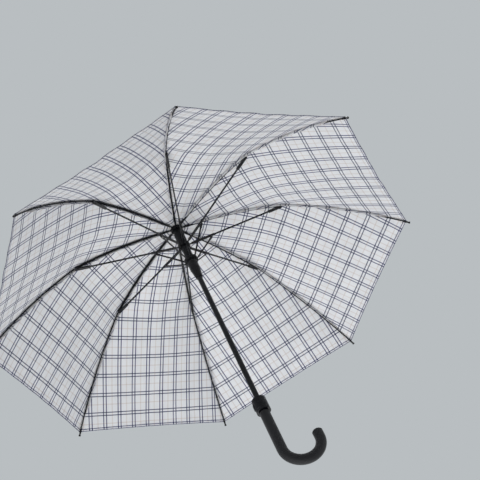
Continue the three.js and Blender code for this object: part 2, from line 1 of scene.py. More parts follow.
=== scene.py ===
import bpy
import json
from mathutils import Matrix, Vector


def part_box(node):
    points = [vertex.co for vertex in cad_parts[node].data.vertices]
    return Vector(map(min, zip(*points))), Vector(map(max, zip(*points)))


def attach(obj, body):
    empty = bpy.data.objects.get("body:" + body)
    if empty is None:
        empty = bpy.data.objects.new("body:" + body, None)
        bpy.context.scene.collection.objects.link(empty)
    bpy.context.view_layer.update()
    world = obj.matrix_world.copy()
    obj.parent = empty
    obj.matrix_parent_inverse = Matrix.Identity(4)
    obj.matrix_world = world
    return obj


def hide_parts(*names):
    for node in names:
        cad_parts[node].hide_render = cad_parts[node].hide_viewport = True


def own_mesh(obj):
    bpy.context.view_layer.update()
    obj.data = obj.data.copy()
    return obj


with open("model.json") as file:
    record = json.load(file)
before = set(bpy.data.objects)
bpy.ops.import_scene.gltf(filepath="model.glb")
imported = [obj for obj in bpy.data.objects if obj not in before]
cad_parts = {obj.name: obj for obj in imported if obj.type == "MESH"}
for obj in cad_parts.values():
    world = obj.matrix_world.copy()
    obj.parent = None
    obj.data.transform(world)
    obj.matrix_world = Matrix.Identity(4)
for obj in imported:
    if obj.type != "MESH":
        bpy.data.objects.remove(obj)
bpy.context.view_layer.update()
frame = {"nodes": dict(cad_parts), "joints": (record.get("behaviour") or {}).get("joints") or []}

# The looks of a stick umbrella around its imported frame: a checked polyester canopy sewn in
# eight gores, black sprung ribs and stretchers, the shaft with its notch, hub and runner, and
# a crook handle. Lengths are in metres unless a name says mm.

import json
import math

import bmesh
import bpy
from mathutils import Matrix, Vector, noise

bl_info = {
    "name": "Stick Umbrella",
    "version": (1, 0, 0),
    "blender": (4, 5, 0),
    "location": "View3D > Sidebar > Umbrella",
    "description": "Builds the canopy, hardware and handle of a stick umbrella",
    "category": "Object",
}

MM = 0.001
RIBS = 8
HALF_GORE = math.pi / RIBS

# ---- what the frame gives -----------------------------------------------------------------
PLACE = {joint["name"]: Vector(joint["pos_m"]) for joint in frame["joints"] if "pos_m" in joint}


def in_plane(point):
    """A point as distance from the shaft's axis and height."""
    return math.hypot(point.x, point.y), point.z


RIB_PIVOT = in_plane(PLACE["rib_1_fold"])
RIB_JOINT = in_plane(PLACE["rod_1_flex"])
CLIP_PIN = in_plane(PLACE["link_1_turn"])
STRUT_PIN = in_plane(PLACE["prop_1_turn"])
HUB_PIVOT = in_plane(PLACE["hub_level"])

# ---- the rib's curve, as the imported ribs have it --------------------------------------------
SLOPE_ROOT = -0.06  # radians below the horizontal
SLOPE_JOINT_IN = 0.28
SLOPE_JOINT_OUT = 0.47
SLOPE_TIP = 0.79
ROD_LENGTH = 322 * MM
ROD_RADIUS = 1.6 * MM


def arc_length(start, end, turn):
    """Length of the arc between two points whose slope changes by turn."""
    chord = math.hypot(end[0] - start[0], end[1] - start[1])
    return chord * (turn / 2) / math.sin(turn / 2)


CHANNEL_LENGTH = arc_length(RIB_PIVOT, RIB_JOINT, SLOPE_JOINT_IN - SLOPE_ROOT)


def rib_at(distance, lift=0.0):
    """Distance from the axis and height of a point along the rib, with lift above its centre line."""
    if distance <= CHANNEL_LENGTH:
        start, slope0, turn = RIB_PIVOT, SLOPE_ROOT, SLOPE_JOINT_IN - SLOPE_ROOT
        share, length = distance / CHANNEL_LENGTH, CHANNEL_LENGTH
    else:
        start, slope0, turn = RIB_JOINT, SLOPE_JOINT_OUT, SLOPE_TIP - SLOPE_JOINT_OUT
        share, length = (distance - CHANNEL_LENGTH) / ROD_LENGTH, ROD_LENGTH
    radius = length / turn
    slope = slope0 + turn * share
    return (
        start[0] + radius * (math.sin(slope) - math.sin(slope0)) + lift * math.sin(slope),
        start[1] + radius * (math.cos(slope) - math.cos(slope0)) + lift * math.cos(slope),
    )


def spin(index):
    """Turns a rib's own plane, x outwards and z up, to its bearing about the shaft."""
    joint = PLACE[f"rod_{index}_flex"]
    return Matrix.Rotation(math.atan2(joint.y, joint.x), 4, "Z")


def plane_frame(distance, lift=0.0):
    """Point, side and up of the rib's curve, in the rib's plane."""
    (x, z), (x1, z1) = rib_at(distance, lift), rib_at(distance + 0.5 * MM, lift)
    along = Vector((x1 - x, 0, z1 - z)).normalized()
    side = Vector((0, 1, 0))
    return Vector((x, 0, z)), side, along.cross(side)


# ---- settings -------------------------------------------------------------------------------
def colour_setting(name, description, default):
    return bpy.props.StringProperty(name=name, description=f"{description}, sRGB hex", default=default)


def length_setting(name, description, default):
    return bpy.props.FloatProperty(
        name=name, description=description, default=default, subtype="DISTANCE", unit="LENGTH")


def angle_setting(name, description, degrees):
    return bpy.props.FloatProperty(
        name=name, description=description, default=math.radians(degrees), subtype="ANGLE", unit="ROTATION")


class CanopySettings(bpy.types.PropertyGroup):
    """Sizes and colours of the cloth."""

    ground: colour_setting("Ground", "Undyed colour of the cloth", "#E0E0E2")
    warp: colour_setting("Warp lines", "Lines that run from crown to hem", "#3D4277")
    weft: colour_setting("Weft lines", "Lines along the hem", "#545A78")
    tint: colour_setting("Faint lines", "Faint warm lines inside the squares", "#E4D6CB")
    warp_pitch: length_setting("Check across", "Between pairs of warp lines", 38.5 * MM)
    weft_pitch: length_setting("Check down", "Between pairs of weft lines", 49 * MM)
    first_weft: length_setting(
        "First weft pair", "Lowest pair of weft lines above the gore's corners", 42 * MM)
    pair: length_setting("Pair", "Between the two lines of a pair", 7.6 * MM)
    line: length_setting("Line", "Width of one line", 2.5 * MM)
    sag: length_setting("Saddle", "How far mid-gore is drawn in between two ribs", 13 * MM)
    hem: length_setting("Hem", "Width of the folded hem", 7 * MM)


class HardwareSettings(bpy.types.PropertyGroup):
    """Colours of the frame and the handle."""

    steel: colour_setting("Painted steel", "Black stove enamel", "#0B0C0F")
    plastic: colour_setting("Moulded plastic", "Black nylon and ABS mouldings", "#090A0D")
    rod: colour_setting("Fibreglass", "Black pultruded rod", "#0D0E12")
    grip: colour_setting("Grip", "Soft-touch coat of the handle", "#101013")
    rivet: colour_setting("Rivets", "Zinc-plated steel wire", "#5C5E62")
    thread: colour_setting("Thread", "Black sewing thread", "#1A1B20")


class StageSettings(bpy.types.PropertyGroup):
    """Camera and studio."""

    heading: angle_setting("Heading", "Direction the camera looks in, from +Y towards +X", 15.5)
    climb: angle_setting("Climb", "How steeply the camera looks up", 44.5)
    roll: angle_setting("Roll", "Tilt of the camera about its line of sight", -28.3)
    place: bpy.props.FloatVectorProperty(
        name="Camera", description="Where the camera stands", default=(-0.4051, -1.9412, -1.4025),
        subtype="TRANSLATION", unit="LENGTH")
    lens: bpy.props.FloatProperty(
        name="Lens", description="Focal length on a 36 mm sensor, in millimetres", default=85.6)
    backdrop: colour_setting("Backdrop", "Colour of the studio", "#B9BEC1")
    floor: colour_setting("Floor", "Colour of the floor", "#D8DADB")


# ---- materials ------------------------------------------------------------------------------
FLAT_MAP = "flat_cut"  # metres from the centre line and up from the corners of each flat gore
EDGE_MAP = "edge_distances"  # metres to the rib seam and to the hem
LINE_EDGE = (0.62, 0.38)  # where a line of the check ends and is full, to its width


def linear(hex_colour):
    """An sRGB hex colour as linear RGBA."""
    values = [int(hex_colour.lstrip("#")[i:i + 2], 16) / 255 for i in (0, 2, 4)]
    return [v / 12.92 if v <= 0.04045 else ((v + 0.055) / 1.055) ** 2.4 for v in values] + [1.0]


def add_node(tree, kind, settings=None, inputs=None):
    """Adds a shader node with its settings, and gives each input a value or a socket's link."""
    node = tree.nodes.new("ShaderNode" + kind)
    for name, value in (settings or {}).items():
        setattr(node, name, value)
    for name, value in (inputs or {}).items():
        if isinstance(value, bpy.types.NodeSocket):
            tree.links.new(value, node.inputs[name])
        else:
            node.inputs[name].default_value = value
    return node


def new_material(name):
    """An empty node material."""
    material = bpy.data.materials.new(name)
    material.use_nodes = True
    material.node_tree.nodes.clear()
    return material, material.node_tree


def math_chain(value, *steps):
    """Passes a socket's value through math nodes, each step an operation and its other inputs."""
    for operation, *others in steps:
        inputs = {0: value}
        inputs.update({i + 1: other for i, other in enumerate(others)})
        value = add_node(value.id_data, "Math", {"operation": operation}, inputs).outputs[0]
    return value


def soft_step(value, start, end, low=0.0, high=1.0):
    """Runs smoothly from low to high as the value goes from start to end."""
    return add_node(
        value.id_data, "MapRange", {"interpolation_type": "SMOOTHSTEP"},
        {0: value, 1: start, 2: end, 3: low, 4: high}).outputs[0]


def near(distance, place, outer, inner):
    """1 within the inner distance of a place, falling to 0 at the outer one."""
    return soft_step(math_chain(distance, ("SUBTRACT", place), ("ABSOLUTE",)), outer, inner)


def tinted(colour, over, factor):
    """One colour dyed over another by a factor."""
    return add_node(
        colour.id_data, "Mix", {"data_type": "RGBA", "blend_type": "MULTIPLY"},
        {0: factor, 6: colour, 7: over}).outputs[2]


def line_pair(distance, pitch, offset, gap, width):
    """1 on pairs of lines that repeat along a distance, and 0 between them; a pair is centred
    where the distance is offset, and a gap of 0 gives a single line."""
    from_centre = math_chain(
        distance, ("SUBTRACT", offset), ("MULTIPLY_ADD", 1 / pitch, 0.5), ("FRACT",),
        ("SUBTRACT", 0.5), ("ABSOLUTE",), ("MULTIPLY", pitch))
    return near(from_centre, gap / 2, width * LINE_EDGE[0], width * LINE_EDGE[1])


YARN = 1.5 * MM  # real yarns are 0.2 mm apart; these are wider so that the weave shows
SLUB = 4 * MM  # thick places in the yarn
DYE_CLOUD = 70 * MM  # uneven dye
STITCH = 3.2 * MM
HEM_ROWS = (0.8 * MM, 6.0 * MM)  # rows of stitching above the hem's edge
HEM_THREAD = (1.6 * MM, 1.0 * MM)  # where its blur ends and it is full, from its middle
SEAM_ROW, SEAM_THREAD = 2.2 * MM, (0.6 * MM, 0.3 * MM)  # and beside a rib seam
LIGHT_THROUGH = 0.3  # share of the light that comes through the cloth


def woven_polyester(settings):
    """Polyester pongee, plain woven and piece-dyed pale, with a yarn-dyed check: light comes
    softly through it, and its lines darken where warp and weft cross."""
    material, tree = new_material("polyester_pongee_yarn_dyed_check")
    flat = add_node(tree, "UVMap", {"uv_map": FLAT_MAP}).outputs[0]
    across, height_up, _ = add_node(tree, "SeparateXYZ", None, {0: flat}).outputs
    edges = add_node(tree, "UVMap", {"uv_map": EDGE_MAP}).outputs[0]
    to_seam, to_hem, _ = add_node(tree, "SeparateXYZ", None, {0: edges}).outputs
    pair, line = settings.pair, settings.line

    warp_wave, weft_wave = (
        math_chain(along, ("MULTIPLY", 2 * math.pi / YARN), ("SINE",)) for along in (across, height_up))
    weave = math_chain(warp_wave, ("MULTIPLY", weft_wave))
    drawn_out = add_node(tree, "Mapping", None, {0: flat, 3: (1.0, 0.12, 1.0)}).outputs[0]
    slub, cloud = (
        add_node(tree, "TexNoise", None, {"Vector": place, "Scale": 1 / size, "Detail": detail}).outputs[0]
        for place, size, detail in ((drawn_out, SLUB, 3.0), (flat, DYE_CLOUD, 2.0)))

    # The pairs of warp lines stand either side of a gore's centre line.
    warp = line_pair(across, settings.warp_pitch, settings.warp_pitch / 2, pair, line)
    weft = line_pair(height_up, settings.weft_pitch, settings.first_weft, pair, line)
    faint_warp = line_pair(across, settings.warp_pitch, 0.0, 0.0, line)
    faint_weft = line_pair(
        height_up, settings.weft_pitch, settings.first_weft + settings.weft_pitch / 2, 0.0, line)
    strength = soft_step(slub, 0.3, 0.7, 0.88, 1.0)  # slubs break each line up a little
    colour = add_node(tree, "RGB").outputs[0]
    colour.default_value = linear(settings.ground)
    for lines, dye, depth in ((faint_warp, settings.tint, 0.5), (faint_weft, settings.tint, 0.5),
                              (weft, settings.weft, strength), (warp, settings.warp, strength)):
        colour = tinted(colour, linear(dye), math_chain(lines, ("MULTIPLY", depth)))
    # Uneven dye, a few per cent either way, a little darker between the yarn's slubs, and painted shade where
    # the weave sits low.
    shade = math_chain(soft_step(cloud, 0.3, 0.7, 0.955, 1.0),
                       ("MULTIPLY", soft_step(slub, 0.2, 0.8, 0.955, 1.0)),
                       ("MULTIPLY", soft_step(weave, -1.0, 1.0, 0.975, 1.0)))
    grey = add_node(tree, "CombineColor", None, {0: shade, 1: shade, 2: shade}).outputs[0]
    colour = tinted(colour, grey, 1.0)

    # Two rows of lockstitch hold the hem, and one runs down each side of a rib seam.
    hem_dash, seam_dash = (
        near(math_chain(along, ("MULTIPLY", 1 / STITCH), ("FRACT",)), 0.5, 0.42, 0.36)
        for along in (across, height_up))
    low_row, high_row = (near(to_hem, row, *HEM_THREAD) for row in HEM_ROWS)
    hem_stitch = math_chain(low_row, ("MAXIMUM", high_row), ("MULTIPLY", hem_dash))
    seam_stitch = math_chain(near(to_seam, SEAM_ROW, *SEAM_THREAD), ("MULTIPLY", seam_dash))
    colour = tinted(colour, linear(settings.warp), hem_stitch)
    colour = tinted(colour, linear(settings.weft), math_chain(seam_stitch, ("MULTIPLY", 0.5)))

    height = math_chain(weave, ("MULTIPLY", 0.35), ("ADD", slub), ("SUBTRACT", hem_stitch),
                        ("SUBTRACT", seam_stitch))
    bump = add_node(tree, "Bump", None, {"Strength": 0.35, "Distance": 0.3 * MM, "Height": height})
    cloth = add_node(
        tree, "BsdfPrincipled", None,
        {"Base Color": colour, "Roughness": soft_step(slub, 0.2, 0.8, 0.62, 0.78), "IOR": 1.5,
         "Sheen Weight": 0.12, "Sheen Roughness": 0.4, "Normal": bump.outputs[0]})
    through = add_node(tree, "BsdfTranslucent", None, {"Color": colour, "Normal": bump.outputs[0]})
    mixed = add_node(tree, "MixShader", None, {0: LIGHT_THROUGH, 1: cloth.outputs[0], 2: through.outputs[0]})
    add_node(tree, "OutputMaterial", None, {0: mixed.outputs[0]})
    return material


HANDLING = 24 * MM  # patches dulled by handling


def dark_finish(name, colour, roughness, grain_mm, depth_mm, **uniform):
    """A dark surface with fine grain in its roughness and relief, at a real grain size."""
    material, tree = new_material(name)
    place = add_node(tree, "TexCoord").outputs["Object"]
    grain = add_node(
        tree, "TexNoise", None,
        {"Vector": place, "Scale": 1 / (grain_mm * MM), "Detail": 4.0, "Roughness": 0.55}).outputs[0]
    wear = add_node(
        tree, "TexNoise", None, {"Vector": place, "Scale": 1 / HANDLING, "Detail": 3.0}).outputs[0]
    rough = math_chain(
        soft_step(grain, 0.3, 0.7, roughness * 0.85, roughness * 1.15),
        ("ADD", soft_step(wear, 0.5, 0.8, 0.0, 0.08)))
    bump = add_node(tree, "Bump", None, {"Strength": 0.4, "Distance": depth_mm * MM, "Height": grain})
    inputs = {"Base Color": linear(colour), "Roughness": rough, "Specular IOR Level": 0.2,
              "Normal": bump.outputs[0]}
    inputs.update({key.replace("_", " "): value for key, value in uniform.items()})
    shader = add_node(tree, "BsdfPrincipled", None, inputs)
    add_node(tree, "OutputMaterial", None, {0: shader.outputs[0]})
    return material


def enamelled_steel(settings):
    """Cold-rolled steel, stove enamelled black: a smooth paint film with a clear, narrow gloss
    and the slight orange peel of sprayed enamel."""
    return dark_finish(
        "stove_enamelled_steel", settings.steel, 0.3, 2.5, 0.03, IOR=1.52, Coat_Weight=0.12,
        Coat_Roughness=0.12)


def moulded_nylon(settings):
    """Glass-filled nylon from a spark-eroded mould: an even satin grain that blurs highlights."""
    return dark_finish("moulded_nylon_satin", settings.plastic, 0.42, 0.8, 0.04, IOR=1.53)


def moulded_abs(settings):
    """ABS from a polished mould: bright, soft-edged highlights on a deep black."""
    return dark_finish("moulded_abs_gloss", settings.plastic, 0.2, 3.0, 0.02, IOR=1.54)


def pultruded_rod(settings):
    """Pultruded fibreglass, dyed black: fibres along the rod leave a faint matt streak."""
    return dark_finish("pultruded_fibreglass", settings.rod, 0.46, 0.6, 0.03, IOR=1.52)


def soft_touch_grip(settings):
    """ABS core under a rubbery polyurethane coat: a wide dull highlight and a leather-fine grain."""
    return dark_finish("soft_touch_polyurethane", settings.grip, 0.55, 1.1, 0.06, IOR=1.5, Sheen_Weight=0.15)


def zinc_rivet(settings):
    """Zinc-plated steel wire, headed cold: small bright grey domes, slightly dulled."""
    return dark_finish("zinc_plated_steel", settings.rivet, 0.34, 0.7, 0.02, Metallic=1.0)


def tie_thread(settings):
    """Spun polyester sewing thread, black: matt and hairy."""
    return dark_finish("spun_polyester_thread", settings.thread, 0.8, 0.4, 0.05, IOR=1.5, Sheen_Weight=0.3)


LOOKS = {  # what makes each finish, the settings it reads and a slot name
    "cloth": (woven_polyester, "umbrella_canopy", "cloth"),
    "steel": (enamelled_steel, "umbrella_hardware", "black_steel"),
    "nylon": (moulded_nylon, "umbrella_hardware", "black_plastic"),
    "abs": (moulded_abs, "umbrella_hardware", "gloss_plastic"),
    "rod": (pultruded_rod, "umbrella_hardware", "black_rod"),
    "grip": (soft_touch_grip, "umbrella_hardware", "black_plastic"),
    "rivet": (zinc_rivet, "umbrella_hardware", "black_steel"),
    "thread": (tie_thread, "umbrella_hardware", "cloth"),
}
MATERIALS = {}


def finish(look):
    """The material of a look, made the first time it is asked for."""
    if look not in MATERIALS:
        maker, group, _ = LOOKS[look]
        MATERIALS[look] = maker(getattr(bpy.context.scene, group))
    return MATERIALS[look]


# ---- mesh helpers ---------------------------------------------------------------------------
def add_object(name, data):
    """An object with its data, in the scene."""
    item = bpy.data.objects.new(name, data)
    bpy.context.scene.collection.objects.link(item)
    return item


def add_mesh(name, shape, material=None):
    """A mesh object, smooth shaded, from (vertices, faces)."""
    vertices, faces = shape
    mesh = bpy.data.meshes.new(name)
    mesh.from_pydata([tuple(v) for v in vertices], [], faces)
    if material:
        mesh.materials.append(material)
    mesh.polygons.foreach_set("use_smooth", [True] * len(mesh.polygons))
    mesh.update()
    return add_object(name, mesh)


def new_piece(name, shape, look, body, node=None):
    """A mesh piece with its finish, riding on a body and standing for a CAD node."""
    piece = add_mesh(name, shape, finish(look))
    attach(piece, body)
    if node:
        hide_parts(node)
    return piece


def rib_piece(name, index, shape, look, body, node=None):
    """A piece made in the rib's own plane and turned to its bearing."""
    return new_piece(name, moved(shape, spin(index)), look, body, node)


CREASE_ANGLE = math.radians(38)


def crease(piece):
    """Smooth shading with edges sharper than the crease angle kept crisp."""
    bm = bmesh.new()
    bm.from_mesh(piece.data)
    for edge in bm.edges:
        edge.smooth = len(edge.link_faces) == 2 and edge.calc_face_angle(0) < CREASE_ANGLE
    bm.to_mesh(piece.data)
    bm.free()
    return piece


def rounded(outline, steps=4):
    """A closed outline of (radius, height, corner radius) in mm, as metres, with its corners
    turned as arcs."""
    outline = [(r * MM, z * MM, corner * MM) for r, z, corner in outline]
    points = []
    for i, (r, z, corner) in enumerate(outline):
        here = Vector((r, z))
        if corner <= 0:
            points.append(here)
            continue
        before = Vector(outline[i - 1][:2]) - here
        after = Vector(outline[(i + 1) % len(outline)][:2]) - here
        half = before.angle(after) / 2
        reach = min(corner / math.tan(half), before.length * 0.48, after.length * 0.48)
        p0, p1 = here + before.normalized() * reach, here + after.normalized() * reach
        for k in range(steps + 1):
            t = k / steps
            points.append(p0 * (1 - t) ** 2 + here * 2 * t * (1 - t) + p1 * t ** 2)
    return points


def turned_mesh(points, sides=64):
    """Vertices and faces of an outline turned about the z axis; points on the axis are shared."""
    vertices, rings = [], []
    for point in points:
        if point[0] < 1e-7:
            rings.append([len(vertices)] * sides)
            vertices.append((0.0, 0.0, point[1]))
            continue
        rings.append(list(range(len(vertices), len(vertices) + sides)))
        vertices += [(x, y, point[1]) for x, y in circle(point[0], sides)]
    faces = []
    for i, ring in enumerate(rings):
        after = rings[(i + 1) % len(rings)]
        for k in range(sides):
            corners = [ring[k], ring[(k + 1) % sides], after[(k + 1) % sides], after[k]]
            unique = list(dict.fromkeys(corners))
            if len(unique) > 2:
                faces.append(unique)
    return vertices, faces


def face_outwards(piece):
    """Turns every face of a closed piece outwards."""
    bm = bmesh.new()
    bm.from_mesh(piece.data)
    bmesh.ops.recalc_face_normals(bm, faces=bm.faces)
    bm.to_mesh(piece.data)
    bm.free()
    return piece


def turned(name, outline, look, body, node):
    """A turned piece on the shaft's axis."""
    return crease(face_outwards(new_piece(name, turned_mesh(rounded(outline)), look, body, node)))


def ring_faces(rows, count):
    """Quads between rows of points that each close on themselves."""
    return [[i + k, i + (k + 1) % count, i + count + (k + 1) % count, i + count + k]
            for i in range(0, (rows - 1) * count, count) for k in range(count)]


def end_faces(rows, count):
    """The two faces that close a run of such rows."""
    return [list(range(count))[::-1], [(rows - 1) * count + k for k in range(count)]]


def swept_mesh(path, section, close_ends=True):
    """Vertices and faces of a section of (side, up) offsets carried along a path of
    (point, side, up) frames."""
    vertices = [point + side * a + up * b for point, side, up in path for a, b in section]
    faces = ring_faces(len(path), len(section))
    return vertices, faces + (end_faces(len(path), len(section)) if close_ends else [])


def circle(radius, sides):
    """Points round the origin, from the x axis on."""
    return [(radius * math.cos(2 * math.pi * k / sides), radius * math.sin(2 * math.pi * k / sides))
            for k in range(sides)]


def grid_rim(rows, columns):
    """The places round the edge of a grid of points, in order."""
    rim = [(i, 0) for i in range(rows)] + [(rows - 1, k) for k in range(1, columns)]
    rim += [(i, columns - 1) for i in range(rows - 2, -1, -1)]
    return rim + [(0, k) for k in range(columns - 2, 0, -1)]


def moved(shape, matrix):
    """A shape's (vertices, faces) after a matrix."""
    return [matrix @ Vector(v) for v in shape[0]], shape[1]


def joined(*parts):
    """Several (vertices, faces) as one."""
    vertices, faces = [], []
    for more, more_faces in parts:
        base = len(vertices)
        vertices += list(more)
        faces += [[base + k for k in face] for face in more_faces]
    return vertices, faces


def carve(piece, shape):
    """Cuts a closed mesh out of a piece."""
    cutter = face_outwards(add_mesh("cutter", shape))
    boolean = piece.modifiers.new("cut", "BOOLEAN")
    boolean.object = cutter
    boolean.operation = "DIFFERENCE"
    boolean.solver = "EXACT"
    evaluated = piece.evaluated_get(bpy.context.evaluated_depsgraph_get())
    result = bpy.data.meshes.new_from_object(evaluated)
    piece.modifiers.clear()
    piece.data = result
    bpy.data.objects.remove(cutter)
    return crease(piece)


def box_mesh(low, high):
    """Vertices and faces of a box between two corners."""
    (x0, y0, z0), (x1, y1, z1) = low, high
    vertices = [(x, y, z) for z in (z0, z1) for y in (y0, y1) for x in (x0, x1)]
    faces = [[0, 2, 3, 1], [4, 5, 7, 6], [0, 1, 5, 4], [2, 6, 7, 3], [0, 4, 6, 2], [1, 3, 7, 5]]
    return vertices, faces


def radii(node):
    """Outer radius, lowest and highest z of a turned CAD node, in mm."""
    low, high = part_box(node)
    return (high.x - low.x) / 2 / MM, low.z / MM, high.z / MM


# ---- canopy ---------------------------------------------------------------------------------
CLOTH_LIFT = 3.6 * MM  # inner face above the rib's centre line
CLOTH_THICKNESS = 0.5 * MM
CLOTH_BORE = 8.4 * MM  # hole at the crown
HEM_SCALLOP, SCALLOP_POWER = 3 * MM, 6  # how far mid-hem is cut back, and how near the hem
SAG_REACH, SAG_POWER = 0.92, 1.2  # share of a half wave that the sag runs through, and how late
WAVE_DEPTH, WAVES = 2.6 * MM, (9, 5)  # slack waves in each gore, per metre across and down
PULL_DEPTH, PULLS = 0.9 * MM, (95, 24)  # folds that pull towards the tips, radians per metre
SEAM_HALF = 3 * MM  # half the width of the felled seam over a rib
SEAM_EXTRA = 0.5 * MM  # extra layers of cloth in it
HEM_EXTRA = 0.6 * MM  # and in the hem
CROWN_REACH = RIB_PIVOT[0] - CLOTH_BORE
CLOTH_LENGTH = CROWN_REACH + CHANNEL_LENGTH + ROD_LENGTH
KINK_ROUNDING = 6 * MM  # over which the rib joint's bend is eased at the rib
KINK_ROUNDING_MID = 70 * MM  # and at mid-gore
INNER_ROWS, OUTER_ROWS, COLUMNS = 26, 30, 16


def eased_rib(s, v):
    """The rib's curve under the cloth, with the bend at its joint eased away from the rib."""
    reach = KINK_ROUNDING + (KINK_ROUNDING_MID - KINK_ROUNDING) * v * v
    x = z = 0.0
    for share, weight in ((-1, 1), (-0.5, 2), (0, 2), (0.5, 2), (1, 1)):
        px, pz = rib_at(s - CROWN_REACH + share * reach, CLOTH_LIFT)
        x += px * weight / 8
        z += pz * weight / 8
    return x, z


def cloth_point(s, v, gore, side, sag_depth):
    """A point of a half gore in its rib's plane: s down the cloth from the crown hole, v from 0
    over the rib to 1 at mid-gore."""
    rib_x, rib_z = eased_rib(s, v)
    share = s / CLOTH_LENGTH
    to_rib = 1 - v
    from_rib = 1 - to_rib ** 2
    slope = SLOPE_TIP * share
    sag = sag_depth * math.sin(SAG_REACH * math.pi * max(share, 0.0) ** SAG_POWER) * from_rib
    # Slack in the cut and pull towards the tips leave shallow waves in each gore.
    across = side * to_rib * rib_x * math.sin(HALF_GORE)
    wave = noise.noise(Vector((across * WAVES[0], s * WAVES[1], gore * 3.7))) * WAVE_DEPTH
    pull = math.sin(across * PULLS[0] + s * PULLS[1] + gore) * PULL_DEPTH * share ** 3
    sag += (wave + pull) * from_rib
    scallop = HEM_SCALLOP * share ** SCALLOP_POWER * from_rib
    out = rib_x * math.cos(HALF_GORE) - sag * math.sin(slope) - scallop * math.cos(slope)
    z = rib_z - sag * math.cos(slope) + scallop * math.sin(slope)
    aside = to_rib * rib_x * math.sin(HALF_GORE)
    return Vector((
        out * math.cos(HALF_GORE) + aside * math.sin(HALF_GORE),
        side * (out * math.sin(HALF_GORE) - aside * math.cos(HALF_GORE)),
        z))


def gore_length_table(steps=400):
    """Distance down the flat gore for steps of distance along the rib."""
    points = [rib_at(CLOTH_LENGTH * i / steps - CROWN_REACH) for i in range(steps + 1)]
    table = [0.0]
    for (x0, z0), (x1, z1) in zip(points, points[1:]):
        table.append(table[-1] + math.hypot((x1 - x0) * math.cos(HALF_GORE), z1 - z0))
    return table


GORE_LENGTHS = gore_length_table()


def flat_place(s, v, side):
    """Where a point lies in its gore's flat cut, with its distances to seam and hem."""
    position = min(max(s / CLOTH_LENGTH, 0.0), 1.0) * (len(GORE_LENGTHS) - 1)
    i = min(int(position), len(GORE_LENGTHS) - 2)
    down = GORE_LENGTHS[i] + (GORE_LENGTHS[i + 1] - GORE_LENGTHS[i]) * (position - i)
    width = max(rib_at(s - CROWN_REACH)[0], 0.0) * math.sin(HALF_GORE)
    share = s / CLOTH_LENGTH
    down -= HEM_SCALLOP * share ** SCALLOP_POWER * (1 - (1 - v) ** 2)
    return -side * (1 - v) * width, GORE_LENGTHS[-1] - down, v * width, CLOTH_LENGTH - s


def column_place(k, s):
    """v of a column of points: the first ones keep to the edges of the felled seam."""
    width = max(rib_at(s - CROWN_REACH)[0], 4 * MM) * math.sin(HALF_GORE)
    seam = min(SEAM_HALF / width, 0.3)
    if k == 0:
        return 0.0
    first = (seam * 0.85, seam * 1.15)
    if k <= 2:
        return first[k - 1]
    return first[1] + (1 - first[1]) * (k - 2) / (COLUMNS - 2)


JOINT_SLOPE = (SLOPE_JOINT_IN + SLOPE_JOINT_OUT) / 2


def split_at(k, half):
    """How far down the cloth a column crosses the plane through the rib joint, across the rib."""
    low, high = CROWN_REACH + CHANNEL_LENGTH - 30 * MM, CROWN_REACH + CHANNEL_LENGTH + 110 * MM
    for _ in range(32):
        s = (low + high) / 2
        p = cloth_point(s, column_place(k, s), *half)
        x, z = p.x - RIB_JOINT[0], p.z - RIB_JOINT[1]
        if x * math.cos(JOINT_SLOPE) < z * math.sin(JOINT_SLOPE):
            low = s
        else:
            high = s
    return (low + high) / 2


def row_places(split, part, hem):
    """Distances down the cloth of one column's points."""
    if part == "inner":
        return [split * i / INNER_ROWS for i in range(INNER_ROWS + 1)]
    last = CLOTH_LENGTH - hem
    rows = [split + (last - split) * i / OUTER_ROWS for i in range(OUTER_ROWS + 1)]
    return rows + [last + 0.5 * MM, last + hem / 2, CLOTH_LENGTH]


def cloth_normal(s, v, half):
    """The cloth's upper normal at a point of a half gore."""
    step_s, step_v = 0.5 * MM, 0.004
    v0, v1 = (v, v + step_v) if v < step_v else (v - step_v, v)
    along = cloth_point(s + step_s, v, *half) - cloth_point(s - step_s, v, *half)
    across = cloth_point(s, v1, *half) - cloth_point(s, v0, *half)
    if v > 1 - step_v:  # mid-gore is a mirror line, so the cloth runs square across it there
        across = Vector((-math.sin(HALF_GORE), half[1] * math.cos(HALF_GORE), 0.0))
    normal = along.cross(across)
    return (normal if normal.z > 0 else -normal).normalized()


def lay_flat(mesh, place):
    """Writes each vertex's place, across and up the flat gore and from seam and hem, to the maps."""
    flat_map, edge_map = (mesh.uv_layers.new(name=name) for name in (FLAT_MAP, EDGE_MAP))
    for loop in mesh.loops:
        across, up, to_seam, to_hem = place(loop.vertex_index)
        flat_map.data[loop.index].uv = (across, up)
        edge_map.data[loop.index].uv = (to_seam, to_hem)


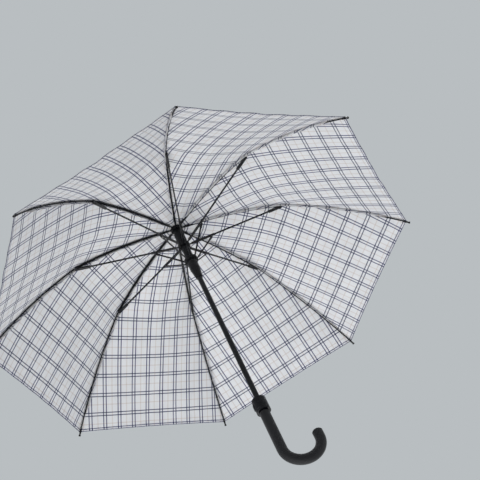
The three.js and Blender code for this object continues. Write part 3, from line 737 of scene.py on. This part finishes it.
def half_gore(index, side, part, settings):
    """One half gore, from its rib to mid-gore, above or below the rib's joint: two faces of
    cloth with the felled seam along the rib and, on the outer part, the folded hem."""
    half = ((index if side > 0 else index - 1) % RIBS, side, settings.sag)  # gore, side and sag
    turn = spin(index)
    columns = range(COLUMNS + 1)
    splits = [split_at(k, half) for k in columns]
    rows = [row_places(split, part, settings.hem) for split in splits]
    count = len(rows[0])
    under, over, normals, flats = [], [], [], []
    for i in range(count):
        for k in columns:
            s = rows[k][i]
            v = column_place(k, s)
            normal = cloth_normal(s, v, half)
            point = cloth_point(s, v, *half)
            in_hem = part == "outer" and i > OUTER_ROWS
            in_seam = k < 2
            under.append(turn @ (point - normal * (HEM_EXTRA if in_hem else 0)))
            over.append(turn @ (point + normal * (CLOTH_THICKNESS + (SEAM_EXTRA if in_seam else 0))))
            normals.append(turn.to_3x3() @ normal)
            flats.append(flat_place(s, v, side))
    width, total = COLUMNS + 1, len(under)

    def at(i, k, layer):
        return layer * total + i * width + k

    faces = []
    for i in range(count - 1):
        for k in range(COLUMNS):
            a, b, c, d = (i, k), (i + 1, k), (i + 1, k + 1), (i, k + 1)
            upper = [at(*p, 1) for p in (a, b, c, d)]
            lower = [at(*p, 0) for p in (a, d, c, b)]
            faces += [upper, lower] if side > 0 else [upper[::-1], lower[::-1]]
    rim = grid_rim(count, width)
    for p, q in zip(rim, rim[1:] + rim[:1]):
        face = [at(*p, 0), at(*q, 0), at(*q, 1), at(*p, 1)]
        faces.append(face if side > 0 else face[::-1])
    name = f"cloth_{part}_{index}_{'left' if side > 0 else 'right'}"
    body = "rib" if part == "inner" else "rod"
    node = f"canopy_{index}" if part == "inner" else None
    piece = new_piece(name, (under + over, faces), "cloth", f"{body}_{index}", node)
    lay_flat(piece.data, lambda vertex: flats[vertex % total])
    piece.data.normals_split_custom_set_from_vertices([-n for n in normals] + normals)
    fold_half_gore(piece)
    declare_cloth(flats, count, width)


def fold_half_gore(piece):
    """Gives a half gore a mesh of its own."""
    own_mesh(piece)


def declare_cloth(flats, count, width):
    """Sums the area of the flat cut that the half gore was sewn from."""
    area = 0.0
    for i in range(count - 1):
        for k in range(width - 1):
            a, b = i * width + k, (i + 1) * width + k
            corners = [flats[j] for j in (a, a + 1, b + 1, b)]
            sides = zip(corners, corners[1:] + corners[:1])
            area += abs(sum(p[0] * q[1] - q[0] * p[1] for p, q in sides)) / 2


SEAM_WIDTH = 10.6 * MM  # of the sewn edges of two gores, laid flat
# Its section beside the rib: mm to the side and mm up.
SEAM_PROFILE = ((-0.2, 0.1), (-1.7, -0.7), (-3.1, -2.2), (-3.5, -4.6), (-3.4, -7.0), (-3.2, -9.0))
SEAM_CLOTH = 0.8 * MM  # two layers, pressed
SEAM_STEP = 9 * MM
GORE_PER_RIB = 0.94  # length of the flat gore to that of the rib
SEAM_ENDS = (16 * MM, 46 * MM)  # left free at the crown and at the tip
CLEAR_OF_STITCHES = (20 * MM, 40 * MM)  # as if that far from seam and hem


def seam_allowance(index, part):
    """The two gores' edges, sewn together over the rib, hang in beside it on one side."""
    rib_end = CHANNEL_LENGTH + ROD_LENGTH
    if part == "inner":
        start, end, body = SEAM_ENDS[0], CHANNEL_LENGTH - 1 * MM, f"rib_{index}"
    else:
        start, end, body = CHANNEL_LENGTH + 1 * MM, rib_end - SEAM_ENDS[1], f"rod_{index}"
    steps = round((end - start) / SEAM_STEP)
    vertices, flats = [], []
    for i in range(steps + 1):
        distance = start + (end - start) * i / steps
        point, side, up = plane_frame(distance, CLOTH_LIFT)
        # The free edge wanders a little, and tapers where the allowance runs out.
        taper = min(1.0, 0.25 + min(distance - SEAM_ENDS[0], rib_end - SEAM_ENDS[1] - distance) / (30 * MM))
        wander = noise.noise(Vector((distance * 22, index * 5.1, 0))) * 0.5 * MM
        outer, inner = [], []
        for k, (aside, rise) in enumerate(SEAM_PROFILE):
            share = k / (len(SEAM_PROFILE) - 1)
            here = point + side * (aside * MM - wander * share) + up * (rise * MM * taper + wander * share)
            outer.append(here)
            inner.append(here - side * SEAM_CLOTH * (0.4 + 0.6 * share))
            across = rib_at(distance)[0] * math.sin(HALF_GORE) + share * SEAM_WIDTH * taper
            flats.append((across, (rib_end - distance) * GORE_PER_RIB, *CLEAR_OF_STITCHES))
        vertices += outer + inner[::-1]
    width, ring = len(SEAM_PROFILE), 2 * len(SEAM_PROFILE)
    faces = ring_faces(steps + 1, ring) + end_faces(steps + 1, ring)
    piece = rib_piece(f"seam_{part}_{index}", index, (vertices, faces), "cloth", body)

    def place(vertex):
        row, k = divmod(vertex, ring)
        return flats[row * width + min(k, ring - 1 - k)]

    lay_flat(piece.data, place)
    face_outwards(piece)


class UMBRELLA_OT_canopy(bpy.types.Operator):
    """Builds the eight gores of checked cloth over the ribs"""

    bl_idname = "umbrella.canopy"
    bl_label = "Canopy"

    def execute(self, context):
        settings = context.scene.umbrella_canopy
        for index in range(1, RIBS + 1):
            for side in (1, -1):
                for part in ("inner", "outer"):
                    half_gore(index, side, part, settings)
            for part in ("inner", "outer"):
                seam_allowance(index, part)
        return {"FINISHED"}


# ---- ribs -----------------------------------------------------------------------------------
TIE_PLACES = (0.3, 0.78)  # shares of the channel, and of the rod, where the cloth is tied
TIE_TURNS, TIE_STEPS = 3, 42
TIE_REACH = (2.6 * MM, 2.9 * MM)  # of the thread, beside and above or below the rib
THREAD_RADIUS, TIE_WIDTH, TIE_LIFT = 0.3 * MM, 1.5 * MM, 1.2 * MM
ROD_STEPS = 28
TIP_COVER = 9 * MM  # of the tip's sleeve over the rod
ROD_CLEAR = (3 * MM, 9.3 * MM)  # of the rod's ends from the joint and from the rib's end
ROD_FERRULE = ((3.2, 1.7), (3.6, 2.05), (11.4, 2.05), (11.8, 1.7))  # mm past the joint, radius in mm


def tie_loop(distance):
    """A thread wound three times round the rib and caught in the seam above it."""
    point, side, up = plane_frame(distance, TIE_LIFT)
    along = side.cross(up)
    path = []
    for k in range(TIE_STEPS + 1):
        a = 2 * math.pi * TIE_TURNS * k / TIE_STEPS
        centre = point + along * ((k / TIE_STEPS - 0.5) * TIE_WIDTH)
        out = side * math.cos(a) * TIE_REACH[0] + up * math.sin(a) * TIE_REACH[1]
        path.append((centre + out, along, out.normalized()))
    return swept_mesh(path, circle(THREAD_RADIUS, 6))


def rib_rod(index):
    """The flexible rod, with its ferrule at the rib's joint."""
    low, high = CHANNEL_LENGTH + ROD_CLEAR[0], CHANNEL_LENGTH + ROD_LENGTH - ROD_CLEAR[1]
    path = [plane_frame(low + (high - low) * i / ROD_STEPS) for i in range(ROD_STEPS + 1)]
    rib_piece(f"rod_{index}", index, swept_mesh(path, circle(ROD_RADIUS, 16)), "rod", f"rod_{index}",
              f"rib_rod_{index}")
    ferrule = []
    for distance, radius in ROD_FERRULE:
        point, side, up = plane_frame(CHANNEL_LENGTH + distance * MM)
        ferrule.append((point, side * radius, up * radius))
    rib_piece(f"rod_ferrule_{index}", index, swept_mesh(ferrule, circle(MM, 16)), "steel", f"rod_{index}")


def rib_tip(index):
    """Moulded tip: a sleeve over the rod's end, a waist that the cloth is sewn to, and a ball."""
    x, z = rib_at(CHANNEL_LENGTH + ROD_LENGTH - TIP_COVER)
    outline = [(0, 0, 0), (2.0, 0, 0.4), (2.4, 2.2, 0.8), (2.4, 11.5, 1.2), (1.75, 14.4, 1.2),
               (2.1, 15.6, 0.6), (3.1, 17.4, 1.0), (2.5, 19.5, 1.0), (0, 20, 0)]
    lay = Matrix.Translation((x, 0, z)) @ Matrix.Rotation(math.pi / 2 + SLOPE_TIP, 4, "Y")
    tip = moved(turned_mesh(rounded(outline), 24), lay)
    face_outwards(rib_piece(f"tip_{index}", index, tip, "abs", f"rod_{index}", f"rib_tip_{index}"))


def rivet_heads(centre, half_width, radius):
    """A domed head on each side of a pivot across the rib's plane."""
    dome = [(radius, 0), (radius, 0.12 * MM), (radius * 0.8, 0.42 * MM), (radius * 0.45, 0.6 * MM),
            (0, 0.66 * MM), (0, 0)]
    heads = []
    for side in (1, -1):
        lay = Matrix.Translation((centre[0], side * half_width, centre[1])) @ Matrix.Rotation(
            -side * math.pi / 2, 4, "X")
        heads.append(moved(turned_mesh(dome, 16), lay))
    return joined(*heads)


class UMBRELLA_OT_ribs(bpy.types.Operator):
    """Builds the rods, tips and thread ties of the ribs, and finishes their channels"""

    bl_idname = "umbrella.ribs"
    bl_label = "Ribs"

    def execute(self, context):
        for index in range(1, RIBS + 1):
            rib_rod(index)
            rib_tip(index)
            for part, body, start, length in (
                    ("channel", "rib", 0.0, CHANNEL_LENGTH), ("rod", "rod", CHANNEL_LENGTH, ROD_LENGTH)):
                ties = joined(*[tie_loop(start + length * share) for share in TIE_PLACES])
                rib_piece(f"ties_{part}_{index}", index, ties, "thread", f"{body}_{index}")
            paint(f"rib_channel_{index}", "steel")
        return {"FINISHED"}


def paint(node, look):
    """Gives a CAD node that stays its finish."""
    materials = frame["nodes"][node].data.materials
    materials.clear()
    materials.append(finish(look))


RIVETS = (("clip", "link", CLIP_PIN, 2.9 * MM, 1.5 * MM), ("strut", "prop", STRUT_PIN, 2.5 * MM, 1.3 * MM))


class UMBRELLA_OT_stretchers(bpy.types.Operator):
    """Finishes the stretchers and struts, and sets the rivets they turn on"""

    bl_idname = "umbrella.stretchers"
    bl_label = "Stretchers and struts"

    def execute(self, context):
        for index in range(1, RIBS + 1):
            paint(f"stretcher_{index}", "steel")
            paint(f"strut_{index}", "steel")
            for name, body, pin, half_width, radius in RIVETS:
                rib_piece(f"{name}_rivets_{index}", index, rivet_heads(pin, half_width, radius), "rivet",
                          f"{body}_{index}")
        return {"FINISHED"}


# ---- on the shaft ---------------------------------------------------------------------------
SHAFT_BORE = 6.5  # mm, of what sits on the shaft
TUBE_BORE = 10.3  # mm, of what slides on the spring tube
SLOT_HALF = 1.7  # mm, half a slot's width
SLOT_FLOOR = 9.2  # mm from the axis, in the discs that hold the ribs and stretchers
WIRE_RADIUS, WIRE_STEPS = 0.75 * MM, 96


def slotted(name, node, body, slot_floor, corner, wire_z=None):
    """A moulded disc with eight slots for eyes and, given a wire's height, the ring wire that they turn on.
    """
    radius, low, high = radii(node)
    bore = SHAFT_BORE if wire_z else TUBE_BORE
    outline = [(bore, low, 0), (radius, low, corner), (radius, high, corner), (bore, high, 0)]
    piece = turned(name, outline, "nylon", body, node)
    slot = box_mesh((slot_floor, -SLOT_HALF, low - 1), (radius + 2, SLOT_HALF, high + 1))
    slots = [moved(slot, spin(index) @ Matrix.Scale(MM, 4)) for index in range(1, RIBS + 1)]
    carve(piece, joined(*slots))
    if wire_z:
        path = []
        for x, y in circle(1.0, WIRE_STEPS) + [(1.0, 0.0)]:
            out = Vector((x, y, 0))
            path.append((out * RIB_PIVOT[0] + Vector((0, 0, wire_z)), out, Vector((0, 0, 1))))
        new_piece(name + "_wire", swept_mesh(path, circle(WIRE_RADIUS, 10), close_ends=False), "rivet", body)


class UMBRELLA_OT_shaft(bpy.types.Operator):
    """Builds the shaft, notch, sleeve, crown cap and ferrule"""

    bl_idname = "umbrella.shaft"
    bl_label = "Shaft and crown"

    def execute(self, context):
        bore = SHAFT_BORE
        radius, low, high = radii("shaft")
        turned("shaft_tube", [(radius - 0.8, low, 0), (radius, low, 0.3), (radius, high, 0.3),
                              (radius - 0.8, high, 0)], "steel", "frame", "shaft")
        slotted("notch", "top_notch", "frame", SLOT_FLOOR, 0.9, RIB_PIVOT[1])
        radius, low, high = radii("notch_sleeve")
        turned("sleeve", [
            (bore, low, 0), (radius, low, 1.2), (radius, low + 9, 0.4), (radius - 0.5, low + 9.6, 0.2),
            (radius - 0.5, low + 11, 0.2), (radius, low + 11.6, 0.4), (radius, high - 15, 6),
            (9.6, high, 0.8), (bore, high, 0)], "nylon", "frame", "notch_sleeve")
        radius, low, high = radii("crown_cap")
        start = high + 0.3
        turned("cap", [
            (bore, low + 0.6, 0), (radius, low, 0.3), (radius, low + 1.2, 0.7), (radius * 0.8, low + 3.6, 3),
            (10, high, 1), (bore, high, 0)], "nylon", "frame", "crown_cap")
        radius, low, high = radii("ferrule")
        turned("ferrule_point", [
            (0, low, 0), (bore, low, 0), (bore, start, 0), (radius, start, 0.5), (radius, start + 8, 1),
            (radius - 1, start + 9.4, 0.6), (5, high - 5, 0.5), (5.3, high - 4, 0.5), (5.3, high - 1, 1.2),
            (4.2, high, 0.4), (0, high, 0)], "abs", "frame", "ferrule")
        return {"FINISHED"}


class UMBRELLA_OT_runner(bpy.types.Operator):
    """Builds the sliding hub, spring tube, strut ring and lower runner"""

    bl_idname = "umbrella.runner"
    bl_label = "Hub and runner"

    def execute(self, context):
        slotted("hub_disc", "upper_hub", "hub", SLOT_FLOOR, 1.0, HUB_PIVOT[1])
        radius, low, high = radii("spring_tube")
        bore = SHAFT_BORE
        turned("spring_cover", [
            (bore, low, 0), (radius, low, 0.5), (radius, high - 3, 0.3), (radius - 0.4, high - 2.6, 0.2),
            (radius - 0.4, high, 0.3), (bore, high, 0)], "abs", "hub", "spring_tube")
        slotted("strut_disc", "strut_ring", "runner", 12.1, 1.6)
        radius, low, high = radii("lower_runner")
        bore, step, nose = TUBE_BORE, high - 37.2, 8.6
        outline = [(bore, high, 0), (radius, high, 0.8)]
        for groove in (9, 12.5, 16):  # finger grooves round the straight part
            z = high - groove
            outline += [(radius, z, 0.35), (radius - 0.55, z - 0.5, 0.25), (radius - 0.55, z - 1.1, 0.25),
                        (radius, z - 1.6, 0.35)]
        outline += [(radius, high - 27.5, 8), (nose, low + 3, 2.4), (nose - 1, low, 0.8),
                    (SHAFT_BORE, low, 0), (SHAFT_BORE, step, 0), (bore, step, 0)]
        turned("runner_body", outline, "abs", "runner", "lower_runner")
        return {"FINISHED"}


# ---- handle ---------------------------------------------------------------------------------
CROOK_END = -34 * MM  # height of the crook's end face
CROOK_STEPS = (26, 40, 6)  # of the grip, the bend and the tail
CROOK_SIDES = 40
CROOK_EASE = 2.2 * MM  # rounding of its ends
MOULD_LINE = 0.18 * MM
SOCKET_DEPTH = 38 * MM


def crook_frames():
    """Frames down the grip, round the crook and up to its end, and its radius."""
    low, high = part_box("handle")
    radius = -low.x
    bend = (high.x - radius) / 2
    top, turn_z = high.z, low.z + radius + bend
    straight, arc, tail = CROOK_STEPS
    side, x_axis = Vector((0, 1, 0)), Vector((1, 0, 0))
    frames = [(Vector((0, 0, top + (turn_z - top) * i / straight)), side, x_axis)
              for i in range(straight + 1)]
    for i in range(1, arc + 1):
        a = math.pi * i / arc
        centre = Vector((bend * (1 - math.cos(a)), 0, turn_z - bend * math.sin(a)))
        frames.append((centre, side, Vector((math.cos(a), 0, math.sin(a)))))
    for i in range(1, tail + 1):
        frames.append((Vector((2 * bend, 0, turn_z + (CROOK_END - turn_z) * i / tail)), side, -x_axis))
    return frames, radius


def crook():
    """The moulded crook: a round grip with a rounded shoulder and end, its mould line and the
    socket for the shaft."""
    frames, radius = crook_frames()
    sides, vertices = CROOK_SIDES, []
    lengths = [0.0]
    for (a, _, _), (b, _, _) in zip(frames, frames[1:]):
        lengths.append(lengths[-1] + (b - a).length)
    for (point, side, up), length in zip(frames, lengths):
        from_end = min(length, lengths[-1] - length)
        size = radius
        if from_end < CROOK_EASE:
            size -= CROOK_EASE * (1 - math.sqrt(1 - (1 - from_end / CROOK_EASE) ** 2))
        for k, (x, y) in enumerate(circle(1.0, sides)):
            relief = MOULD_LINE if k in (0, sides // 2) else 0.0
            vertices.append(point + side * x * (size + relief) * 0.97 + up * y * size)
    faces = ring_faces(len(frames), sides)
    faces.append(end_faces(len(frames), sides)[1])
    top, socket = frames[0][0].z, len(vertices)
    for z in (top, top - SOCKET_DEPTH):
        vertices += [Vector((y, x, z)) for x, y in circle(SHAFT_BORE * MM, sides)]
    for k in range(sides):
        n = (k + 1) % sides
        faces += [[n, socket + n, socket + k, k],
                  [socket + n, socket + sides + n, socket + sides + k, socket + k]]
    faces.append([socket + sides + k for k in range(sides)])
    crease(face_outwards(new_piece("crook", (vertices, faces), "grip", "frame", "handle")))


class UMBRELLA_OT_handle(bpy.types.Operator):
    """Builds the crook, the collar and the release button"""

    bl_idname = "umbrella.handle"
    bl_label = "Handle"

    def execute(self, context):
        crook()
        radius, low, high = radii("handle_collar")
        bore, floor = 11.2, low + 6
        collar = turned("collar", [
            (SHAFT_BORE, low, 0), (radius, low, 0.8), (radius, low + 4, 0.4), (radius - 0.5, low + 4.6, 0.2),
            (radius - 0.5, low + 5.6, 0.2), (radius, low + 6.2, 0.4), (radius, high, 2), (bore, high, 0.8),
            (bore, floor, 0), (SHAFT_BORE, floor, 0)], "abs", "frame", "handle_collar")
        button_low, button_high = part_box("release_button")
        gap = Vector((0, BUTTON_GAP, BUTTON_GAP))
        opening_low, opening_high = button_low - gap, button_high + gap
        opening_low.x = -(radius + 2) * MM
        opening_high.x += BUTTON_TRAVEL + BUTTON_GAP
        carve(collar, box_mesh(opening_low, opening_high))
        push_button(button_low, button_high)
        return {"FINISHED"}


BUTTON_GAP = 0.3 * MM
BUTTON_TRAVEL = 1.5 * MM
BUTTON_ROWS, BUTTON_COLUMNS = 27, 15
BUTTON_DOME = 0.7 * MM
RIDGE, RIDGE_PITCH = 0.25 * MM, 3.2 * MM


def push_button(low, high):
    """A pillow-shaped button with three finger ridges across its face."""
    middle, half = (low + high) / 2, (high - low) / 2
    width, total = BUTTON_COLUMNS, BUTTON_COLUMNS * BUTTON_ROWS
    front, back, faces = [], [], []
    for i in range(BUTTON_ROWS):
        for k in range(width):
            u, w = 2 * k / (width - 1) - 1, 2 * i / (BUTTON_ROWS - 1) - 1
            pull = 1 - 0.14 * u ** 4 * w ** 4  # the corners are drawn in
            y, z = middle.y + u * half.y * pull, middle.z + w * half.z * pull
            ridge = 0.0
            if abs(w) < 0.55 and abs(u) < 0.75:
                ridge = RIDGE * max(0.0, math.cos(w * half.z / RIDGE_PITCH * 2 * math.pi))
            dome = BUTTON_DOME * max(abs(u) ** 3, w ** 4)
            front.append(Vector((low.x + dome + RIDGE - ridge, y, z)))
            back.append(Vector((high.x, y, z)))
            if i and k:
                a = (i - 1) * width + k - 1
                faces += [[a + j, a + 1 + j, a + width + 1 + j, a + width + j] for j in (0, total)]
    rim = [i * width + k for i, k in grid_rim(BUTTON_ROWS, width)]
    faces += [[p, q, q + total, p + total] for p, q in zip(rim, rim[1:] + rim[:1])]
    crease(face_outwards(new_piece("button", (front + back, faces), "steel", "button", "release_button")))


# ---- stage ----------------------------------------------------------------------------------
FLOOR_Z = -1.75
FLOOR_HALF = 9.0


def soft_light(name, place, aim, size, watts):
    """A white rectangular softbox aimed at a point."""
    light = bpy.data.lights.new(name, "AREA")
    light.shape = "RECTANGLE"
    light.size, light.size_y = size
    light.energy = watts
    lamp = add_object(name, light)
    lamp.location = place
    lamp.rotation_euler = (Vector(aim) - Vector(place)).to_track_quat("-Z", "Y").to_euler()


class UMBRELLA_OT_stage(bpy.types.Operator):
    """Sets the camera, the floor and the studio lights"""

    bl_idname = "umbrella.stage"
    bl_label = "Stage"

    def execute(self, context):
        scene = context.scene
        settings = scene.umbrella_stage
        self.camera(scene, settings)
        self.floor(settings)
        world = bpy.data.worlds.new("studio_air")
        scene.world = world
        world.use_nodes = True
        background = world.node_tree.nodes["Background"]
        background.inputs["Color"].default_value = linear(settings.backdrop)
        background.inputs["Strength"].default_value = 1.0
        middle = (0, 0, 0.55)
        soft_light("softbox_below", (-0.45, 0.25, -1.6), (-0.1, 0.1, 0.6), (4.5, 4.5), 104)
        soft_light("softbox_left", (-2.4, -1.2, -0.6), middle, (1.6, 2.0), 18)
        soft_light("strip_right", (2.4, -1.2, -0.5), middle, (0.25, 2.2), 12)
        soft_light("softbox_above", (0.6, 1.2, 3.2), middle, (3.0, 3.0), 90)
        scene.view_settings.view_transform = "Standard"
        return {"FINISHED"}

    def camera(self, scene, settings):
        heading, climb, roll = settings.heading, settings.climb, settings.roll
        forward = Vector((math.sin(heading), math.cos(heading), 0)) * math.cos(climb)
        forward.z = math.sin(climb)
        level = forward.cross(Vector((0, 0, 1))).normalized()
        level_up = level.cross(forward)
        right = level * math.cos(roll) + level_up * math.sin(roll)
        up = right.cross(forward)
        data = bpy.data.cameras.new("camera")
        data.lens = settings.lens
        data.sensor_width = 36
        camera = add_object("camera", data)
        camera.matrix_world = Matrix.Translation(settings.place) @ Matrix(
            (right, up, -forward)).transposed().to_4x4()
        scene.camera = camera

    def floor(self, settings):
        material, tree = new_material("studio_vinyl_pale")
        # Matt vinyl sheet: a faint cloudiness keeps it from looking flat.
        cloud = add_node(tree, "TexNoise", None, {"Scale": 1.5, "Detail": 2.0}).outputs[0]
        shader = add_node(
            tree, "BsdfPrincipled", None,
            {"Base Color": linear(settings.floor), "Roughness": soft_step(cloud, 0.3, 0.7, 0.7, 0.85)})
        add_node(tree, "OutputMaterial", None, {0: shader.outputs[0]})
        corners = [(x * FLOOR_HALF, y * FLOOR_HALF, FLOOR_Z) for x, y in ((-1, -1), (1, -1), (1, 1), (-1, 1))]
        add_mesh("floor", (corners, [[0, 1, 2, 3]]), material)


# ---- panel and registration -----------------------------------------------------------------
BUILD_ORDER = (
    UMBRELLA_OT_stage, UMBRELLA_OT_canopy, UMBRELLA_OT_ribs, UMBRELLA_OT_stretchers,
    UMBRELLA_OT_shaft, UMBRELLA_OT_runner, UMBRELLA_OT_handle,
)


class UMBRELLA_PT_panel(bpy.types.Panel):
    """Lists the umbrella's pieces and their settings"""

    bl_label = "Stick umbrella"
    bl_idname = "UMBRELLA_PT_panel"
    bl_space_type = "VIEW_3D"
    bl_region_type = "UI"
    bl_category = "Umbrella"

    def draw(self, context):
        for operator in BUILD_ORDER:
            self.layout.operator(operator.bl_idname)
        for group in (context.scene.umbrella_canopy, context.scene.umbrella_hardware,
                      context.scene.umbrella_stage):
            column = self.layout.column()
            for name in group.__annotations__:
                column.prop(group, name)


CLASSES = (CanopySettings, HardwareSettings, StageSettings, *BUILD_ORDER, UMBRELLA_PT_panel)


def register():
    for cls in CLASSES:
        bpy.utils.register_class(cls)
    bpy.types.Scene.umbrella_canopy = bpy.props.PointerProperty(type=CanopySettings)
    bpy.types.Scene.umbrella_hardware = bpy.props.PointerProperty(type=HardwareSettings)
    bpy.types.Scene.umbrella_stage = bpy.props.PointerProperty(type=StageSettings)


def unregister():
    for name in ("umbrella_canopy", "umbrella_hardware", "umbrella_stage"):
        delattr(bpy.types.Scene, name)
    for cls in reversed(CLASSES):
        bpy.utils.unregister_class(cls)


def main():
    register()
    bpy.ops.umbrella.stage()
    bpy.ops.umbrella.canopy()
    bpy.ops.umbrella.ribs()
    bpy.ops.umbrella.stretchers()
    bpy.ops.umbrella.shaft()
    bpy.ops.umbrella.runner()
    bpy.ops.umbrella.handle()


if __name__ == "__main__":
    main()
